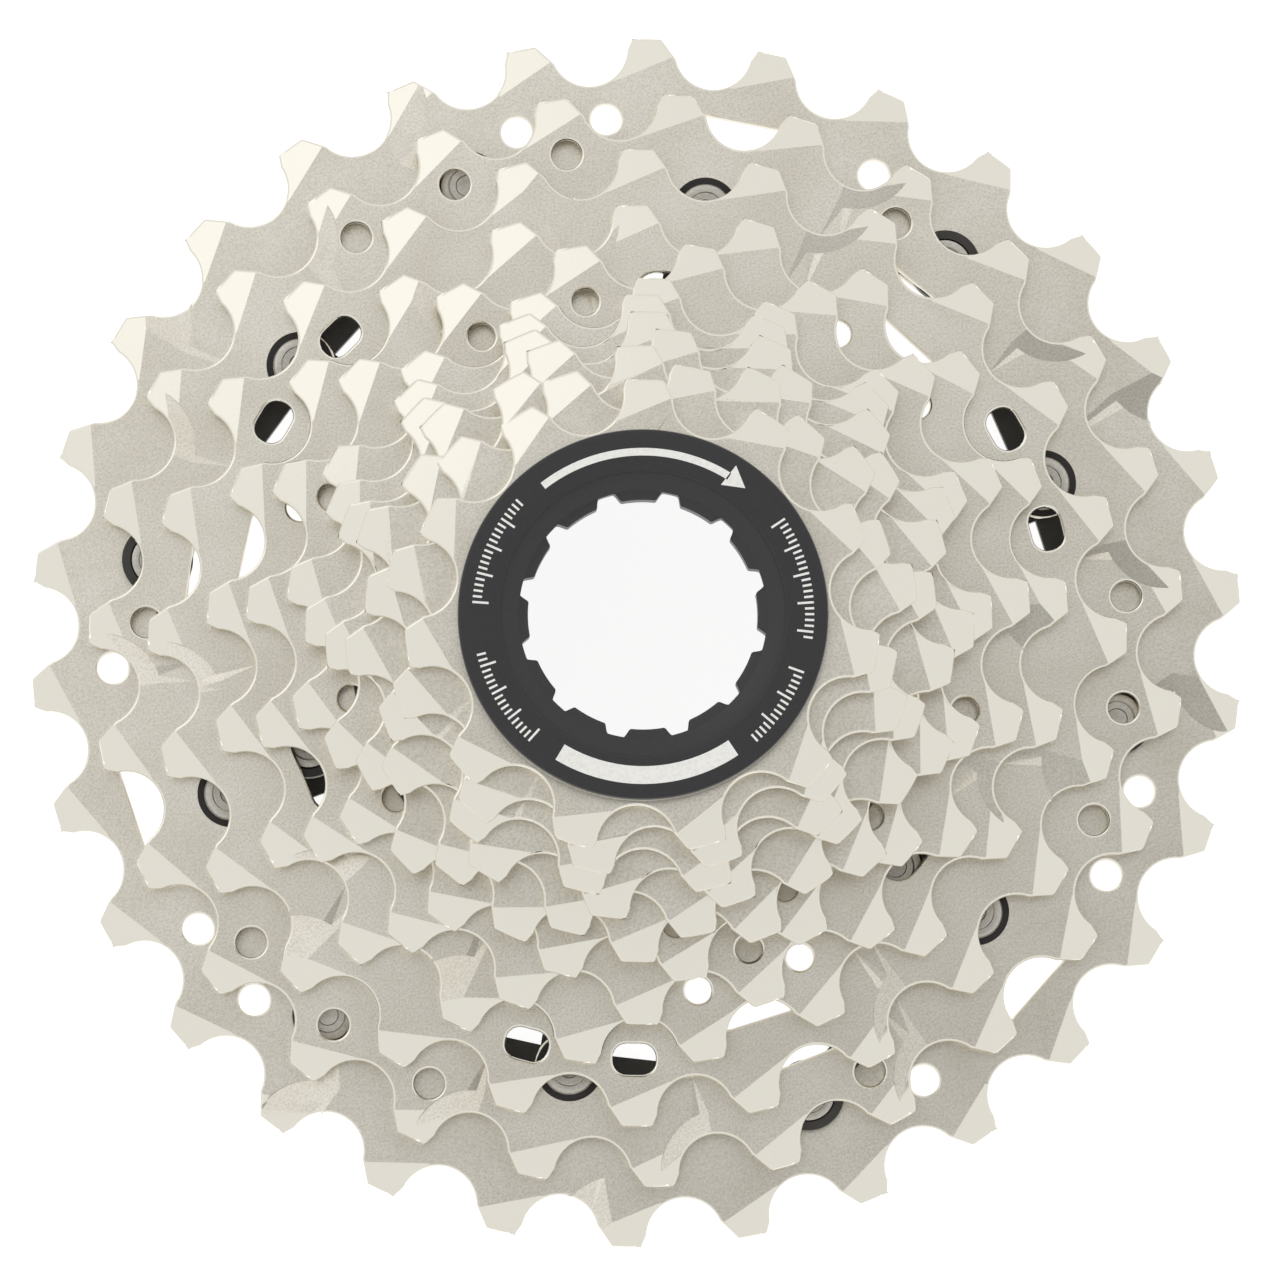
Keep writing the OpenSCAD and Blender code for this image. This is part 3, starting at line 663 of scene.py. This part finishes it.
class CASSETTE_OT_lockring(bpy.types.Operator):
    """Lockring with serrated flange, tool splines and thread, and its washer"""
    bl_idname = "cassette.lockring"
    bl_label = "Lockring"

    def execute(self, context):
        sizes = context.scene.cassette_lockring
        black = hard_black("black_anodised", sizes.ring_colour, 0.0002, 0.36, 0.2)
        ring = washer("lockring", SPLINE_BORE, [
            (0.0131, 0.03885), (0.0133, 0.03865), (0.0133, 0.03575), (0.01345, 0.0356), (0.0145, 0.0356),
            (sizes.thread_root, 0.0358), (sizes.thread_root, 0.0406), (0.0177, 0.0406), (FLANGE_RIM, 0.04068),
            (FLANGE_RIM, 0.0412), (0.0182, 0.04135), (0.0182, 0.04285), (0.01812, 0.04302), (0.0179, 0.04308),
            (0.0142, 0.04308), (0.01403, 0.043), (0.014, 0.04288), (0.01392, 0.04285), (0.0135, 0.04285),
            (0.0124, 0.0423), (0.0122, 0.04225), (SPLINE_CHAMFER, 0.04225),
            (SPLINE_BORE, 0.04215)], vertices=480)
        bpy.ops.object.mode_set(mode="EDIT")
        # tool grooves: the bore's wall steps out over a few degrees each side of a groove's floor
        for least, most, groove in GROOVE_STEPS:
            for wall in (SPLINE_BORE, SPLINE_CHAMFER):
                select_where(ring, lambda co: abs(polar(co)[0] - wall) < 0.00005 and co.z > 0.038
                             and least <= abs((polar(co)[1] - sizes.groove_turn + 15) % 30 - 15) < most)
                share = groove / wall
                bpy.ops.transform.resize(value=(share, share, 1), center_override=(0, 0, 0))
        # serrations: every other point of the flange's rear edge moves in
        share = 1 - sizes.serration_depth / FLANGE_RIM
        select_where(ring, lambda co: 0.0176 < polar(co)[0] < 0.01817 and co.z < 0.0413
                     and round(polar(co)[1] / 0.75) % 2 == 0)
        bpy.ops.transform.resize(value=(share, share, 1), center_override=(0, 0, 0))
        bpy.ops.object.mode_set(mode="OBJECT")
        # thread: one ridge wound round the sleeve
        object_mode()
        bpy.ops.mesh.primitive_circle_add(vertices=3, radius=0.00042, fill_type="NOTHING",
                                          location=(sizes.thread_root + 0.00015, 0, 0.036),
                                          rotation=(0, math.pi / 2, math.pi / 2))
        ridge = bpy.context.object
        bpy.ops.object.transform_apply(location=True, rotation=True, scale=True)
        wound = ridge.modifiers.new("thread", "SCREW")
        wound.screw_offset = sizes.thread_pitch
        wound.iterations = 4
        wound.steps = wound.render_steps = 96
        bpy.ops.object.modifier_apply(modifier=wound.name)
        ring = joined([ring, ridge])
        settle(ring, "lockring_turned", black, smooth=LOCKRING_SMOOTH)
        stand_for(ring, "lockring")

        # printed marks: a direction arrow, graduations and a bare label, with no wording
        ink = white_ink("printed_white", sizes.ink_colour)
        arrow_shaft = arc_strip(-38, 32, 0.0156, 0.01635, PRINTED_FACE)
        label = arc_strip(146, 211, 0.01495, 0.0167, PRINTED_FACE)
        marks = [arrow_shaft, label]
        object_mode()
        bpy.ops.mesh.primitive_circle_add(vertices=3, radius=0.0014, fill_type="NGON",
                                          location=clockwise(34, 0.01598, PRINTED_FACE),
                                          rotation=(0, 0, -math.radians(34 + 94)))
        marks.append(bpy.context.object)
        for turn_from, turn_to in GRADUATIONS:
            for i in range(round((turn_to - turn_from) / 2) + 1):
                turn = turn_from + 2 * i
                long = 0.0016 if i % 5 == 0 else 0.0009
                object_mode()
                middle = clockwise(turn, 0.0168 - long / 2, PRINTED_FACE)
                bpy.ops.mesh.primitive_plane_add(size=1, location=middle,
                                                 rotation=(0, 0, -math.radians(turn)))
                bpy.context.object.scale = (0.00022, long, 1)
                bpy.ops.object.transform_apply(location=True, rotation=True, scale=True)
                marks.append(bpy.context.object)
        marks = settle(joined(marks), "lockring_marks", ink)
        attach(marks, BODY_OF["lockring"])

        steel = turned_steel("washer_steel", linear("C2BEB4"))
        seat = washer("lockring_washer", 0.016, [(0.0181, 0.0401), (0.0182, 0.0402), (0.0182, 0.0405),
                                                 (0.0181, 0.0406), (0.0161, 0.0406)])
        settle(seat, "lockring_washer_pressed", steel)
        stand_for(seat, "lockring_washer")
        return {"FINISHED"}


class CASSETTE_PT_panel(bpy.types.Panel):
    bl_label = "Cassette"
    bl_idname = "CASSETTE_PT_panel"
    bl_space_type = "VIEW_3D"
    bl_region_type = "UI"
    bl_category = "Cassette"

    def draw(self, context):
        layout = self.layout
        for group in ("cassette_plates", "cassette_lockring", "cassette_stage"):
            box = layout.box()
            settings = getattr(context.scene, group)
            for name in settings.__annotations__:
                box.prop(settings, name)
        for step in OPERATORS:
            layout.operator(step.bl_idname)


GROUPS = [CassettePlates, CassetteLockring, CassetteStage]
OPERATORS = [CASSETTE_OT_stage, CASSETTE_OT_sprockets, CASSETTE_OT_spiders, CASSETTE_OT_spacers,
             CASSETTE_OT_rivets, CASSETTE_OT_lockring]


def register():
    for kind in GROUPS + OPERATORS + [CASSETTE_PT_panel]:
        bpy.utils.register_class(kind)
    bpy.types.Scene.cassette_plates = bpy.props.PointerProperty(type=CassettePlates)
    bpy.types.Scene.cassette_lockring = bpy.props.PointerProperty(type=CassetteLockring)
    bpy.types.Scene.cassette_stage = bpy.props.PointerProperty(type=CassetteStage)


def unregister():
    del bpy.types.Scene.cassette_stage
    del bpy.types.Scene.cassette_lockring
    del bpy.types.Scene.cassette_plates
    for kind in reversed(GROUPS + OPERATORS + [CASSETTE_PT_panel]):
        bpy.utils.unregister_class(kind)


def main():
    register()
    bpy.context.scene.view_settings.view_transform = "Standard"
    bpy.ops.cassette.stage()
    bpy.ops.cassette.sprockets()
    bpy.ops.cassette.spiders()
    bpy.ops.cassette.spacers()
    bpy.ops.cassette.rivets()
    bpy.ops.cassette.lockring()


if __name__ == "__main__":
    main()
